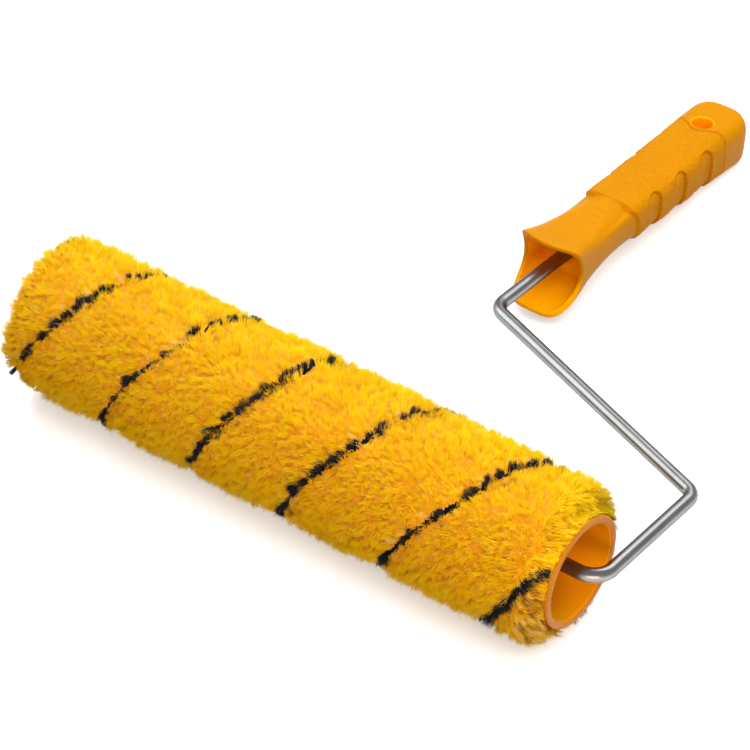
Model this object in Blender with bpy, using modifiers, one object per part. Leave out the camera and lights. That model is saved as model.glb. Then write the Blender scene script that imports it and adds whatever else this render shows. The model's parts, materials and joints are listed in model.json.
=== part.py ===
"""Paint roller: a long-pile sleeve that turns on a bent steel rod with a moulded handle.

Metres, +Z up. X runs along the roller, towards the side where the rod leaves it, and Y from the roller to the
handle. The origin is on the floor under the middle of the object, which lies on its sleeve and on the heel of
its handle.
"""

import math

import bmesh
import bpy
from mathutils import Vector

MM = 0.001
GAP = 0.3 * MM  # clearance between neighbouring pieces

# Roller: a tube wound with pile fabric
PILE_R = 34.0 * MM
PILE_END_R = 6.0 * MM  # rounding of the pile at the sleeve's ends
CORE_R = 24.0 * MM
CORE_BORE_R = 20.5 * MM
CORE_LENGTH = 260.0 * MM
BARE_NEAR = 3.5 * MM  # length of bare core outside the pile, at the rod's side
PILE_OVERHANG = 7.5 * MM  # how far the pile spreads past the core at the far end
RIM_ROUND = 1.0 * MM

# Rod
ROD_R = 3.0 * MM
ARM_OFFSET = 7.6 * MM  # from the core's near rim to the arm's centre line
ARM_LENGTH = 68.8 * MM  # along Y, from the roller's axis to the second bend
STEM_X = 2.8 * MM  # the handle's axis, measured from the middle of the object
STEM_Y = 122.6 * MM  # where the slanted run meets the handle's axis
ROD_END_Y = 246.0 * MM
BEND_AT_CORE = 9.0 * MM  # centre-line radii of the bends
BEND_AT_ARM = 7.5 * MM
BEND_AT_STEM = 9.0 * MM

# Pieces inside the core
NEAR_RECESS = 20.0 * MM  # depth of the open mouth at the rod's side
PLUG_LENGTH = 15.0 * MM
PLUG_WALL = 2.2 * MM
PLUG_WEB = 3.0 * MM
RIB_THICK = 1.5 * MM
RIB_ROOT = 0.9 * MM  # how deep a rib's ends sink into the boss and the wall
BOSS_R = 6.5 * MM
RIBS = 6
WASHER_R = 6.0 * MM
WASHER_THICK = 0.8 * MM
RING_R = 7.0 * MM
RING_THICK = 0.8 * MM
RING_DISH = 1.0 * MM
RING_SLOTS = 6
SLOT_WIDTH = 0.7 * MM
CAP_THICK = 2.0 * MM
CAP_SKIRT = 4.0 * MM
CAP_SKIRT_WALL = 1.6 * MM
CAP_DIMPLE_R = 9.0 * MM
CAP_DIMPLE = 0.6 * MM
ROD_TIP_FROM_CAP = 1.5 * MM
ROD_PAST_RING = 2.0 * MM

# Handle
MOUTH_WEB_Y = 177.0 * MM  # the wall at the bottom of the hollow mouth, which the rod enters
WALL = 2.2 * MM
HOLE_Y = 289.5 * MM
HOLE_R = 4.9 * MM
HANDLE_END_Y = 312.3 * MM
FLAT_FROM_Y = 200.0 * MM  # beyond here the top and the underside are flat where they reach these heights
FLAT_TOP = 13.4 * MM
FLAT_BOTTOM = 11.9 * MM
AROUND = 48

# One line for each section: y, half width, top, bottom, squareness of the upper and of the lower half
HANDLE_SECTIONS = (
    (158.0, 15.6, 15.0, 17.8, 6.0, 4.0),
    (166.0, 15.0, 13.8, 16.3, 5.5, 3.6),
    (178.0, 14.2, 12.2, 12.3, 4.5, 3.0),
    (190.0, 14.0, 11.4, 10.6, 4.0, 2.6),
    (212.0, 14.3, 12.3, 10.4, 3.9, 2.6),
    (240.0, 14.7, 12.2, 12.0, 3.8, 2.6),
    (270.0, 14.9, 13.0, 12.5, 3.7, 2.8),
    (292.0, 15.0, 13.7, 12.3, 3.6, 3.1),
    (313.0, 15.0, 13.7, 12.3, 3.6, 3.2),
)
MOUTH_STATION = 158.0 * MM
LEAN = -0.01  # how far the handle leans from the rod, as a share of its length
WING = 0.05  # how much wider the mouth's upper edge is than its cheeks
TAIL_LENGTH = 13.0 * MM  # the handle's round end
TAIL_POWER = 2.6  # 2 would make it half an ellipse in plan, and more makes it squarer
TAIL_DROP = 0.16  # how much lower the top is at the very end

# Places that follow from the sizes above
HALF_SPAN = (CORE_LENGTH + ARM_OFFSET + ROD_R + PILE_OVERHANG) / 2
CORE_NEAR_X = HALF_SPAN - ARM_OFFSET - ROD_R
CORE_FAR_X = CORE_NEAR_X - CORE_LENGTH
ARM_X = CORE_NEAR_X + ARM_OFFSET
NEAR_PLUG_X = CORE_NEAR_X - NEAR_RECESS
CAP_INNER_X = CORE_FAR_X - GAP
ROD_TIP_X = CAP_INNER_X + ROD_TIP_FROM_CAP


def clear_scene():
    for thing in list(bpy.data.objects):
        bpy.data.objects.remove(thing, do_unlink=True)


def new_collection(name):
    collection = bpy.data.collections.new(name)
    bpy.context.scene.collection.children.link(collection)
    return collection


def new_material(name, colour, roughness, metallic=0.0):
    material = bpy.data.materials.new(name)
    material.use_nodes = True
    shader = material.node_tree.nodes["Principled BSDF"]
    shader.inputs["Base Color"].default_value = (*colour, 1)
    shader.inputs["Roughness"].default_value = roughness
    shader.inputs["Metallic"].default_value = metallic
    material.diffuse_color = (*colour, 1)
    return material


def new_object(name, mesh, material, parent, collection):
    thing = bpy.data.objects.new(name, mesh)
    if material:
        mesh.materials.append(material)
    thing.parent = parent
    collection.objects.link(thing)
    return thing


def new_empty(name, location, collection, tilt=0.0):
    empty = bpy.data.objects.new(name, None)
    empty.location = location
    empty.rotation_euler.x = -tilt
    empty.empty_display_size = 20 * MM
    collection.objects.link(empty)
    return empty


def mesh_from_bmesh(name, bm):
    mesh = bpy.data.meshes.new(name)
    bm.to_mesh(mesh)
    bm.free()
    return mesh


def smooth(mesh, degrees=35):
    mesh.shade_smooth()
    mesh.set_sharp_from_angle(angle=math.radians(degrees))


def turned_profile(name, profile):
    """An outline of (distance along the axis, radius) points, left open where it runs from axis to axis."""
    bm = bmesh.new()
    points = [bm.verts.new((along, 0, radius)) for along, radius in profile]
    closing = [] if profile[0][1] == profile[-1][1] == 0 else points[:1]
    for first, second in zip(points, points[1:] + closing):
        bm.edges.new((first, second))
    return mesh_from_bmesh(name, bm)


def turned(name, profile, steps, material, parent, collection):
    """A piece turned about the X axis. The profile runs anticlockwise with X to the right and radius up."""
    thing = new_object(name, turned_profile(name, profile), material, parent, collection)
    screw = thing.modifiers.new("turn", "SCREW")
    screw.axis = "X"
    screw.steps = screw.render_steps = steps
    screw.use_merge_vertices = True
    screw.merge_threshold = 0.01 * MM
    screw.use_smooth_shade = True
    return thing


def cutter(name, mesh, parent, collection):
    thing = new_object(name, mesh, None, parent, collection)
    thing.hide_render = True
    thing.display_type = "WIRE"
    return thing


def combine(thing, other, operation):
    boolean = thing.modifiers.new(other.name, "BOOLEAN")
    boolean.operation = operation
    boolean.object = other


def cylinder_mesh(name, radius, length, segments):
    """A cylinder along Z about the origin."""
    bm = bmesh.new()
    bmesh.ops.create_cone(
        bm, cap_ends=True, segments=segments, radius1=radius, radius2=radius, depth=length
    )
    return mesh_from_bmesh(name, bm)


def arc(centre, radius, start, end, steps):
    """Points on a circular arc, angles in degrees."""
    return [
        (
            centre[0] + radius * math.cos(math.radians(start + (end - start) * i / steps)),
            centre[1] + radius * math.sin(math.radians(start + (end - start) * i / steps)),
        )
        for i in range(steps + 1)
    ]


# ---------------------------------------------------------------- sleeve


def core_tube(material, parent, collection):
    low, high = CORE_FAR_X, CORE_NEAR_X
    profile = [(low, CORE_BORE_R)]
    profile += arc((high - RIM_ROUND, CORE_BORE_R + RIM_ROUND), RIM_ROUND, -90, 0, 3)
    profile += arc((high - RIM_ROUND, CORE_R - RIM_ROUND), RIM_ROUND, 0, 90, 3)
    profile += [(low, CORE_R)]
    return turned("core_tube", profile, 64, material, parent, collection)


def pile_sleeve(material, parent, collection):
    inner = CORE_R + GAP
    low, high = CORE_FAR_X - PILE_OVERHANG, CORE_NEAR_X - BARE_NEAR
    backing_low, backing_high = low + PILE_OVERHANG, high - 0.5 * PILE_OVERHANG
    waist = PILE_R - PILE_END_R
    profile = [(backing_low, inner), (backing_high, inner)]
    profile += arc((high - PILE_END_R, waist), PILE_END_R, 10, 90, 4)
    profile += arc((low + PILE_END_R, waist), PILE_END_R, 90, 170, 4)
    return turned("pile_sleeve", profile, 64, material, parent, collection)


def bearing_plug(name, outer_x, facing, material, parent, collection, cutters):
    """A plug pressed into the core: wall, web and boss turned in one, with radial ribs behind the web."""
    outer = CORE_BORE_R - GAP
    bore = ROD_R + GAP
    inner = outer - PLUG_WALL
    web = [(0, bore), (0, BOSS_R), (-PLUG_WEB / 2, BOSS_R + PLUG_WEB / 2), (-PLUG_WEB / 2, inner)]
    rim = [(0, inner), (0, outer), (-PLUG_LENGTH, outer), (-PLUG_LENGTH, inner)]
    back = [(-1.5 * PLUG_WEB, inner), (-1.5 * PLUG_WEB, BOSS_R), (-PLUG_LENGTH, BOSS_R), (-PLUG_LENGTH, bore)]
    profile = [(outer_x + facing * along, radius) for along, radius in web + rim + back]
    if facing > 0:
        profile.reverse()
    plug = turned(name, profile, 48, material, parent, collection)
    rib_bm = bmesh.new()
    made = bmesh.ops.create_cube(rib_bm, size=1)
    length = inner - BOSS_R + 2 * RIB_ROOT
    depth = PLUG_LENGTH - 2 * PLUG_WEB
    bmesh.ops.scale(rib_bm, verts=made["verts"], vec=(depth, RIB_THICK, length))
    middle = outer_x - facing * (1.3 * PLUG_WEB + depth / 2)
    bmesh.ops.translate(rib_bm, verts=made["verts"], vec=(middle, 0, BOSS_R - RIB_ROOT + length / 2))
    rib = mesh_from_bmesh(name + "_rib", rib_bm)
    for number in range(RIBS):
        piece = cutter(f"{name}_rib_{number}", rib, parent, cutters)
        piece.rotation_euler.x = math.tau * (number + 0.5) / RIBS
        combine(plug, piece, "UNION")
    return plug


def far_end_cap(material, parent, collection):
    """A disc over the core's far end with a skirt inside it. Its centre is a shallow dimple."""
    skirt_out = CORE_BORE_R - GAP
    skirt_in = skirt_out - CAP_SKIRT_WALL
    face = CAP_INNER_X
    edge = CORE_R - 0.4 * MM
    bevel = 0.6 * MM
    profile = [
        (face, 0),
        (face, skirt_in),
        (face + CAP_SKIRT, skirt_in),
        (face + CAP_SKIRT, skirt_out),
        (face, skirt_out),
        (face, edge),
        (face - CAP_THICK + bevel, edge),
        (face - CAP_THICK, edge - bevel),
        (face - CAP_THICK, CAP_DIMPLE_R),
        (face - CAP_THICK + CAP_DIMPLE, CAP_DIMPLE_R - CAP_DIMPLE),
        (face - CAP_THICK + CAP_DIMPLE, 0),
    ]
    return turned("far_end_cap", profile, 64, material, parent, collection)


# ---------------------------------------------------------------- frame


def washer(name, x, material, parent, collection):
    inner = ROD_R + GAP
    profile = [(x, inner), (x + WASHER_THICK, inner), (x + WASHER_THICK, WASHER_R), (x, WASHER_R)]
    return turned(name, profile, 32, material, parent, collection)


def push_ring(name, x, facing, material, parent, collection, cutters):
    """A dished spring-steel ring that grips the rod, with radial slots that make its teeth."""
    bore = ROD_R + GAP
    flat = RING_R - 2.0 * MM
    outline = [(0, flat), (0, RING_R), (RING_THICK, RING_R), (RING_THICK, flat)]
    outline += [(RING_THICK + RING_DISH, bore), (RING_DISH, bore)]
    profile = [(x + facing * along, radius) for along, radius in outline]
    if facing > 0:
        profile.reverse()
    ring = turned(name, profile, 36, material, parent, collection)
    slot_bm = bmesh.new()
    made = bmesh.ops.create_cube(slot_bm, size=1)
    start, end = bore - MM, flat + 0.4 * MM
    bmesh.ops.scale(slot_bm, verts=made["verts"], vec=(8 * RING_THICK, SLOT_WIDTH, end - start))
    bmesh.ops.translate(slot_bm, verts=made["verts"], vec=(x, 0, (start + end) / 2))
    slot = mesh_from_bmesh(name + "_slot", slot_bm)
    for number in range(RING_SLOTS):
        piece = cutter(f"{name}_slot_{number}", slot, parent, cutters)
        piece.rotation_euler.x = math.tau * (number + 0.25) / RING_SLOTS
        combine(ring, piece, "DIFFERENCE")
    return ring


def rounded_path(corners, radii, step_degrees=12):
    """Points along straight runs joined by arcs of the given radii at the inner corners."""
    path = [corners[0]]
    for before, corner, after, radius in zip(corners, corners[1:], corners[2:], radii):
        back, ahead = (before - corner).normalized(), (after - corner).normalized()
        half = back.angle(ahead) / 2
        centre = corner + (back + ahead).normalized() * radius / math.sin(half)
        start = (corner + back * radius / math.tan(half) - centre).normalized()
        end = (corner + ahead * radius / math.tan(half) - centre).normalized()
        steps = max(3, round(math.degrees(start.angle(end)) / step_degrees))
        path += [centre + start.slerp(end, i / steps) * radius for i in range(steps + 1)]
    return path + [corners[-1]]


def wire_frame(material, parent, collection):
    corners = [
        Vector((ROD_TIP_X, 0, 0)),
        Vector((ARM_X, 0, 0)),
        Vector((ARM_X, ARM_LENGTH, 0)),
        Vector((STEM_X, STEM_Y, 0)),
        Vector((STEM_X, ROD_END_Y, 0)),
    ]
    path = rounded_path(corners, (BEND_AT_CORE, BEND_AT_ARM, BEND_AT_STEM))
    curve = bpy.data.curves.new("wire_frame", "CURVE")
    curve.dimensions = "3D"
    curve.bevel_depth = ROD_R
    curve.bevel_resolution = 3
    curve.resolution_u = 1
    curve.render_resolution_u = 0
    curve.use_fill_caps = True
    curve.twist_mode = "Z_UP"
    spline = curve.splines.new("POLY")
    spline.points.add(len(path) - 1)
    for point, place in zip(spline.points, path):
        point.co = (*place, 1)
    return new_object("wire_frame", curve, material, parent, collection)


# ---------------------------------------------------------------- handle


def handle_section(y):
    """Half width, top, bottom and the two squareness numbers at y, smoothly between the stated sections."""
    rows = HANDLE_SECTIONS
    place = min(max(y / MM, rows[0][0]), rows[-1][0])
    at = max(i for i, row in enumerate(rows[:-1]) if row[0] <= place)
    t = (place - rows[at][0]) / (rows[at + 1][0] - rows[at][0])
    four = [rows[min(max(i, 0), len(rows) - 1)] for i in range(at - 1, at + 3)]
    values = []
    for a, b, c, d in list(zip(*four))[1:]:
        values.append(b + 0.5 * t * (c - a + t * (2 * a - 5 * b + 4 * c - d + t * (3 * (b - c) + d - a))))
    width, top, bottom, upper, lower = values
    return width * MM, top * MM, bottom * MM, upper, lower


def handle_middle(y):
    return STEM_X + LEAN * (y - MOUTH_STATION)


def mouth_edge(across, up):
    """How far the mouth's edge lies behind its station, for a place in the section scaled to -1..1."""
    upper_lip = (0.7 + 3.8 * across**2) * max(up, 0) ** 3
    cheek = 9.0 * (1 - up**2) * across**2
    lower_lip = -6.0 * max(-up, 0) ** 3
    return (upper_lip + cheek + lower_lip) * MM


def handle_ring(y, inset=0.0):
    """One ring of the handle's surface. The mouth's slanted edge and its wings fade out over the flare."""
    width, top, bottom, upper, lower = handle_section(y)
    tail = min(max(0.0, (y - HANDLE_END_Y) / TAIL_LENGTH + 1), 1)
    narrowing = (1 - tail**TAIL_POWER) ** (1 / TAIL_POWER)
    lowering = 1 - TAIL_DROP * tail**5
    fade = max(0.0, 1 - (y - MOUTH_STATION) / (MOUTH_WEB_Y - MOUTH_STATION)) ** 1.3
    ring = []
    for i in range(AROUND):
        angle = math.tau * i / AROUND
        cosine, sine = math.cos(angle), math.sin(angle)
        power = 2 / (upper if sine > 0 else lower)
        across = math.copysign(abs(cosine) ** power, cosine)
        up = math.copysign(abs(sine) ** power, sine)
        x = (width - inset) * across * narrowing * (1 + WING * fade * max(up, 0) ** 4)
        z = ((top if sine > 0 else bottom) - inset) * up * lowering
        if y > FLAT_FROM_Y:
            z = min(max(z, -FLAT_BOTTOM), FLAT_TOP)
        ring.append((handle_middle(y) + x, y + fade * mouth_edge(across, up), z))
    return ring


def handle_stations():
    """Where the handle's outer rings stand, closer together round its end."""
    body_end = HANDLE_END_Y - TAIL_LENGTH
    body = [MOUTH_STATION + (body_end - MOUTH_STATION) * i / 30 for i in range(31)]
    return body + [body_end + TAIL_LENGTH * math.sin(math.radians(a)) for a in range(12, 88, 8)]


def lying_angle(points):
    """The angle by which the frame drops about the roller's axis until a point of it touches the floor."""
    return min(math.asin(PILE_R / math.hypot(y, z)) - math.atan2(-z, y) for _, y, z in points)


def loft(name, rings):
    """A closed solid through rings of equal length, with its two end rings filled."""
    bm = bmesh.new()
    rows = [[bm.verts.new(point) for point in ring] for ring in rings]
    for low, high in zip(rows, rows[1:]):
        for i in range(len(low)):
            j = (i + 1) % len(low)
            bm.faces.new((low[i], high[i], high[j], low[j]))
    bm.faces.new(rows[0])
    bm.faces.new(list(reversed(rows[-1])))
    bmesh.ops.recalc_face_normals(bm, faces=bm.faces)
    return mesh_from_bmesh(name, bm)


def handle(material, parent, collection, cutters):
    inner = [handle_ring(MOUTH_WEB_Y + (MOUTH_STATION - MOUTH_WEB_Y) * i / 8, WALL) for i in range(9)]
    outer = [handle_ring(y) for y in handle_stations()]
    grip = new_object("handle", loft("handle", inner + outer), material, parent, collection)
    hole = cutter("hanging_hole", cylinder_mesh("hanging_hole", HOLE_R, 60 * MM, 32), parent, cutters)
    hole.location = (handle_middle(HOLE_Y), HOLE_Y, 0)
    bore_start = MOUTH_WEB_Y - 10 * MM
    bore_end = ROD_END_Y + GAP
    bore = cylinder_mesh("rod_bore", ROD_R + GAP, bore_end - bore_start, 24)
    bore = cutter("rod_bore", bore, parent, cutters)
    bore.rotation_euler.x = math.radians(90)
    bore.location = (STEM_X, (bore_start + bore_end) / 2, 0)
    for tool in (hole, bore):
        combine(grip, tool, "DIFFERENCE")
    smooth(grip.data)
    return grip


def build():
    clear_scene()
    parts = new_collection("paint_roller")
    cutters = new_collection("cutters")
    handle_points = [point for y in handle_stations() for point in handle_ring(y)]
    tilt = lying_angle(handle_points)
    reach = max(y * math.cos(tilt) + z * math.sin(tilt) for _, y, z in handle_points)
    axis_place = (0, (PILE_R - reach) / 2, PILE_R)
    roller = new_empty("roller_axis", axis_place, parts)
    frame = new_empty("frame_plane", axis_place, parts, tilt)

    orange = new_material("handle_plastic", (0.95, 0.36, 0.01), 0.38)
    core_plastic = new_material("core_plastic", (0.86, 0.30, 0.02), 0.42)
    plug_plastic = new_material("plug_plastic", (0.62, 0.62, 0.60), 0.5)
    steel = new_material("plated_steel", (0.62, 0.63, 0.65), 0.28, 1.0)
    spring_steel = new_material("spring_steel", (0.42, 0.43, 0.45), 0.35, 1.0)
    pile = new_material("pile_fabric", (0.92, 0.55, 0.02), 0.9)

    core_tube(core_plastic, roller, parts)
    pile_sleeve(pile, roller, parts)
    bearing_plug("near_bearing_plug", NEAR_PLUG_X, 1, plug_plastic, roller, parts, cutters)
    far_plug_x = ROD_TIP_X + ROD_PAST_RING + RING_THICK + RING_DISH + WASHER_THICK + 2 * GAP
    bearing_plug("far_bearing_plug", far_plug_x, -1, plug_plastic, roller, parts, cutters)
    far_end_cap(core_plastic, roller, parts)

    wire_frame(steel, frame, parts)
    handle(orange, frame, parts, cutters)
    washer("near_thrust_washer", NEAR_PLUG_X + GAP, plug_plastic, frame, parts)
    ring_x = NEAR_PLUG_X + 2 * GAP + WASHER_THICK
    push_ring("near_stop_ring", ring_x, 1, spring_steel, frame, parts, cutters)
    washer("far_thrust_washer", far_plug_x - GAP - WASHER_THICK, plug_plastic, frame, parts)
    far_ring_x = far_plug_x - 2 * GAP - WASHER_THICK
    push_ring("far_retaining_ring", far_ring_x, -1, spring_steel, frame, parts, cutters)


build()
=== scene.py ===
"""Looks for the paint roller: pile, handle, core, rod and their materials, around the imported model.

Lengths are in metres, and MM turns the design's millimetres into them. The rod and the handle lie in
a plane that tips down from the roller's axis to the floor. In that plane's own coordinates X runs
along the roller, Y from the roller to the handle and Z up from the plane.
"""

import json
import math

import bmesh
import bpy
import numpy as np
from mathutils import Matrix, Vector


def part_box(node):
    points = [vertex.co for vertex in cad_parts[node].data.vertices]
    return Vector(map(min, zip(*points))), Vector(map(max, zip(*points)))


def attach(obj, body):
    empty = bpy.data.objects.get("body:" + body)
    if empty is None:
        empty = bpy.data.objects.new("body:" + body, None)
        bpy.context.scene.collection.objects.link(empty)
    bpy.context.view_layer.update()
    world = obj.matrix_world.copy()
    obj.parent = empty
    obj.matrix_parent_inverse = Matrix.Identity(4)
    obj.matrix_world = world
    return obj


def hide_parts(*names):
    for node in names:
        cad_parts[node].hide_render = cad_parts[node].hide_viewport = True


MM = 0.001
SEED = 7

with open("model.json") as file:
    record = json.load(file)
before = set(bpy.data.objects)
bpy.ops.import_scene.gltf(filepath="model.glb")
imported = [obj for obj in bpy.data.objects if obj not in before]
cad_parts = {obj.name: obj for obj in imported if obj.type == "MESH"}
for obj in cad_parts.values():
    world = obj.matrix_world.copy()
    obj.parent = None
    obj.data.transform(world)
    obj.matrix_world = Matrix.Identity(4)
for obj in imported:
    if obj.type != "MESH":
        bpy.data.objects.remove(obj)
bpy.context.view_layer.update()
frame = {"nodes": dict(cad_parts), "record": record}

# ---- places read from the frame

JOINT = frame["record"]["behaviour"]["joints"][0]
AXIS = Vector(JOINT["pos_m"])
MOUNTS = {mount["name"]: mount for mount in frame["record"]["mounts"]}
TOP_NORMAL = MOUNTS["hanger_face"]["axis"]
TILT = math.atan2(TOP_NORMAL[1], TOP_NORMAL[2])
PLANE = Matrix.Translation(AXIS) @ Matrix.Rotation(-TILT, 4, "X")

CORE_LOW, CORE_HIGH = (Vector(corner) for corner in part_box("core_tube"))
PILE_LOW, PILE_HIGH = (Vector(corner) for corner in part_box("pile_sleeve"))
CORE_NEAR_X = CORE_HIGH.x
CORE_FAR_X = CORE_LOW.x
CORE_R = (CORE_HIGH.y - CORE_LOW.y) / 2
PILE_R = (PILE_HIGH.y - PILE_LOW.y) / 2
PILE_FAR_X, PILE_NEAR_X = PILE_LOW.x, PILE_HIGH.x
ROD_TIP_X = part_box("wire_frame")[0][0]
ARM_SIDE_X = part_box("wire_frame")[1][0]

# ---- driving sizes, as in the design

CORE_BORE_R = 20.5 * MM
ROD_R = 3.0 * MM
ARM_LENGTH = 68.8 * MM
STEM_X = 2.8 * MM
STEM_Y = 122.6 * MM
ROD_END_Y = 246.0 * MM
BENDS = (9.0 * MM, 7.5 * MM, 9.0 * MM)

# The handle is in millimetres in the frame's plane. A section has its y, half width, top, bottom, and
# the squareness of its upper and lower halves.
HANDLE_SECTIONS = (
    (158.0, 15.6, 15.0, 17.8, 6.0, 4.0),
    (166.0, 15.0, 13.8, 16.3, 5.5, 3.6),
    (178.0, 14.2, 12.2, 12.3, 4.5, 3.0),
    (190.0, 14.0, 11.4, 10.6, 4.0, 2.6),
    (212.0, 14.3, 12.3, 10.4, 3.9, 2.6),
    (240.0, 14.7, 12.2, 12.0, 3.8, 2.6),
    (270.0, 14.9, 13.0, 12.5, 3.7, 2.8),
    (292.0, 15.0, 13.7, 12.3, 3.6, 3.6),
    (313.0, 15.0, 13.7, 12.3, 3.6, 5.0),
)
MOUTH_Y = 158.0
MOUTH_WEB_Y = 177.0  # where a web closes the hollow mouth
HANDLE_END_Y = 312.3
TAIL_LENGTH = 13.0  # of the rounded end
TAIL_POWER = 3.2  # its squareness from above
TAIL_DROP = 0.16  # how far its top falls, as a share of its height
WING = 0.05  # how far the mouth's upper corners spread, as a share of the width
LEAN = -0.01  # how far the middle moves across for each millimetre along
WALL = 2.2
LIP_BULGE = 0.45
FLAT_FROM_Y = 200.0
FLAT_TOP = 13.4
FLAT_BOTTOM = 11.9
HOLE_Y = 289.5
HOLE_R = 4.9
HOLE_FILLET = 1.0
BORE_GAP = 0.15  # between the rod and the web
RIDGES_Y = (178.5, 184.4, 189.9, 195.0, 199.6)
RIDGE_HEIGHT = 0.36
PADS_Y = ((220.5, 233.0), (242.5, 254.3), (263.5, 276.3))
PAD_DEPTH = 1.45
PAD_APEX = 0.72  # where a pad's arch is highest, as a share of its length
SEAM_DEPTHS = (0.50, 0.55)  # of the grooves where the textured grip starts and ends
GRAIN_RECESS = 0.12
GRAIN_HEIGHT = 0.12
AROUND = 288  # points round each ring
MOUTH_ROWS, BODY_ROWS, TAIL_ROWS = 40, 262, 34

# Pile: dark yarn laid as two helices, which repeat every half turn of the wound strip
STRIPE_STEP = 49.3 * MM
STRIPES_PER_TURN = 2
STRIPE_PITCH = STRIPE_STEP * STRIPES_PER_TURN
STRIPE_AT = -14.5 * MM  # where a stripe crosses the plane of the frame, from the core's near rim
STRIPE_WIDTH = 3.2 * MM
STRIPE_TUFT_SPACING = 3.0 * MM
STRIPE_REACH = 1.75 * MM  # how far a dark tuft spreads
STRANDS_PER_DARK_TUFT = 72
FRAYS = (  # centre and spread in degrees from the handle's side up, number of fibres, length
    (226, 12, 380, 7.0 * MM),
    (205, 14, 260, 5.0 * MM),
    (38, 12, 90, 4.0 * MM),
)

# Pile: how it grows and how it was combed
# the brown kind of tuft is painted shade, put where the pile lies in shade
YELLOW, DARK, CREAM, SHADE_BROWN = range(4)
PILE_DEPTH = 6.0 * MM
TUFT_SPACING = 2.1 * MM
TUFT_REACH = 0.70 * TUFT_SPACING
STRANDS_PER_TUFT = 15
STRANDS_PER_PIECE = 12000
CREAM_SHARE = 0.22  # of the tufts beside a stripe
WILD_SHARE = 0.11  # of the fibres, the thinner ones that stand out of their tuft
SHADED_SIDE_ANGLE = math.radians(203)  # the side of the rim where brown tufts paint the shade under it
BUMP_HEIGHT = 1.0 * MM
VALLEY_DEPTH = 2.1 * MM  # the pile is lower along a stripe
COMBED_LENGTH = 26 * MM  # of the near end, where the pile lies towards the rim
OWN_NORMAL = 0.28  # share of a fibre's own roundness in how it is lit
ENDWAYS_LIGHT = 0.5  # the share of its lean along the sleeve
END_LIGHT = 0.15  # and that of the rounded ends' own slope
LOWEST_R = CORE_R + 0.5 * MM


# ---- general helpers


def link(thing):
    bpy.context.scene.collection.objects.link(thing)
    return thing


def smoothstep(low, high, value):
    t = np.clip((value - low) / (high - low), 0, 1)
    return t * t * (3 - 2 * t)


def bell(value, width):
    return np.exp(-((value / width) ** 2))


def unit(vectors):
    """The same directions, each with a length of 1."""
    return vectors / np.maximum(np.linalg.norm(vectors, axis=-1, keepdims=True), 1e-12)


def circle(sides):
    return [(math.cos(math.tau * k / sides), math.sin(math.tau * k / sides)) for k in range(sides)]


def round_axis(x, radius, angle):
    """Points at a place along the roller's axis, a radius and an angle."""
    return np.stack([x, AXIS.y + radius * np.cos(angle), AXIS.z + radius * np.sin(angle)], axis=-1)


def radial(nx, nr, angle):
    """Directions round the roller's axis."""
    return np.stack([nx, nr * np.cos(angle), nr * np.sin(angle)], axis=1)


def point_values(mesh, name, values):
    """Keeps a number or a vector with each point of a mesh."""
    values = np.asarray(values, dtype=np.float32)
    kind, field = ("FLOAT", "value") if values.ndim == 1 else ("FLOAT_VECTOR", "vector")
    mesh.attributes.new(name, kind, "POINT").data.foreach_set(field, values.ravel())


def fix_normals(mesh):
    bm = bmesh.new()
    bm.from_mesh(mesh)
    bmesh.ops.recalc_face_normals(bm, faces=bm.faces)
    bm.to_mesh(mesh)
    bm.free()


def mesh_object(name, points, faces, material=None, smooth_angle=None):
    mesh = bpy.data.meshes.new(name)
    mesh.from_pydata([tuple(p) for p in points], [], faces)
    if material:
        mesh.materials.append(material)
    mesh.shade_smooth()
    if smooth_angle:
        mesh.set_sharp_from_angle(angle=math.radians(smooth_angle))
    return link(bpy.data.objects.new(name, mesh))


def add_piece(thing, body, slot, *nodes):
    """Says which body a piece rides on and which CAD nodes it stands for; slot is not used."""
    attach(thing, body)
    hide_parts(*nodes)


def grid_faces(rows, columns, closed=False):
    """Quads of a grid that closes on itself across its columns, and with closed across its rows too."""
    return [
        (
            r * columns + c,
            (r + 1) % rows * columns + c,
            (r + 1) % rows * columns + (c + 1) % columns,
            r * columns + (c + 1) % columns,
        )
        for r in range(rows if closed else rows - 1)
        for c in range(columns)
    ]


def capped_faces(rows, columns):
    """The same grid with a face over each end."""
    ends = [tuple(range(columns)), tuple(reversed(range((rows - 1) * columns, rows * columns)))]
    return grid_faces(rows, columns) + ends


def arc(centre, radius, start, end, steps):
    """Points (x, y) on an arc, from one angle in degrees to another."""
    angles = [math.radians(start + (end - start) * i / steps) for i in range(steps + 1)]
    return [(centre[0] + radius * math.cos(a), centre[1] + radius * math.sin(a)) for a in angles]


# ---- materials


NOISE_MIDDLE = (0.3, 0.7)


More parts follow.
